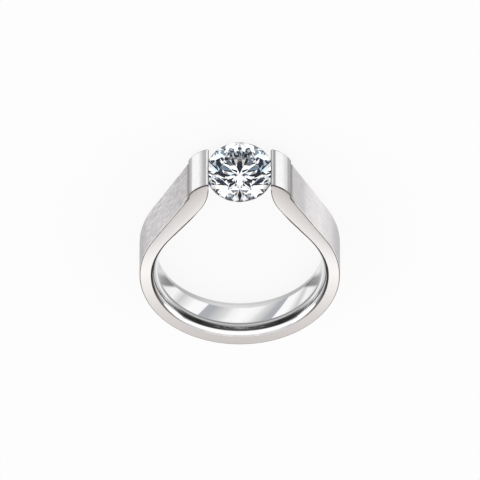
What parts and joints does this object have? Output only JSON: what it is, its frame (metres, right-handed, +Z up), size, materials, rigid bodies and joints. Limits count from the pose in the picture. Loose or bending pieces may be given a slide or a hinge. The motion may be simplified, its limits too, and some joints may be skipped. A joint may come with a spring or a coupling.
{
  "type": "solitaire engagement ring",
  "caption": "Tension-set finger ring: a solid metal band whose shoulders rise to head blocks that grip a round brilliant by its girdle.",
  "frame": {"origin": "on the table under the middle of the ring's outline, with the ring lying on its side as it rests: on the band's outer edge and on the edge of the stone's girdle", "axes": "+Z up from the table, within 2.5 degrees of the finger's axis; -Y towards the stone; X across the ring"},
  "size_m": [0.021, 0.0254, 0.0068],
  "materials": {
    "band_metal": "white gold: brushed shoulders, satin block tops and side faces, polished bore",
    "stone": "clear colourless diamond, polished facets"
  },
  "bodies": {
    "root": {"band": "band_metal", "stone": "stone"}
  },
  "joints": []
}
